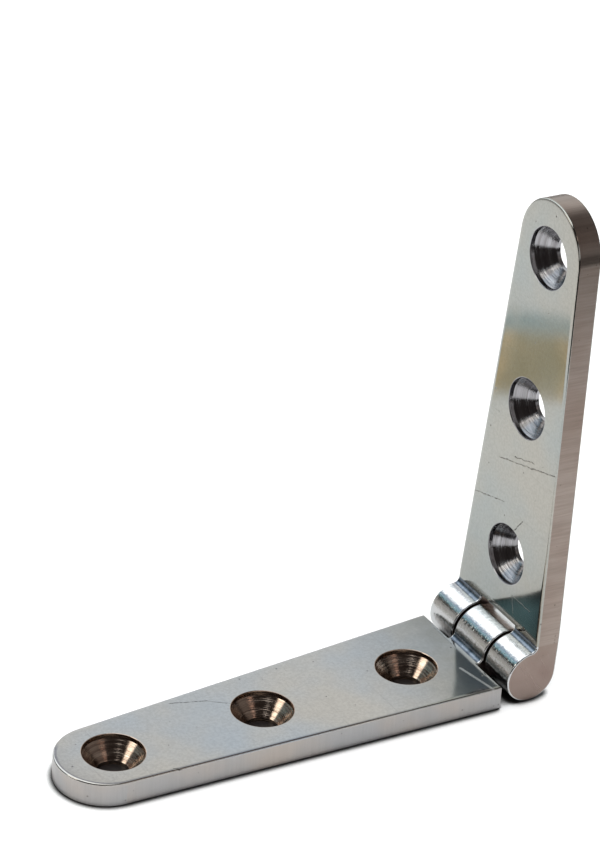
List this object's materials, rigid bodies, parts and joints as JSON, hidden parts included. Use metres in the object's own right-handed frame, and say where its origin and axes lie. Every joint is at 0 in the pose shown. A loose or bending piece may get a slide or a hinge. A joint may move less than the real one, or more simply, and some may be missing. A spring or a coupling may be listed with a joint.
{
  "type": "door hinge",
  "caption": "Tapered solid-leaf door hinge with a round-ended outline, countersunk screw holes and a pin hidden inside its knuckled barrel.",
  "frame": {"origin": "middle screw hole of the fixed leaf, on that leaf's back face", "axes": "+X along the fixed leaf towards the barrel, +Y parallel to the hinge pin, +Z out of the fixed leaf's countersunk face"},
  "size_m": [0.1053, 0.028, 0.1002],
  "materials": {
    "plated_steel": "satin-polished bright plating",
    "pin_steel": "ground"
  },
  "bodies": {
    "fixed_leaf": {"fixed_leaf": "plated_steel"},
    "swing_leaf": {"swing_leaf": "plated_steel", "hinge_pin": "pin_steel"}
  },
  "joints": [
    {"name": "leaf_hinge", "type": "hinge", "parent": "fixed_leaf", "child": "swing_leaf", "pos_m": [0.0515, 0, 0.0054], "axis": [0, 1, 0], "range_deg": [-93, 188]}
  ]
}
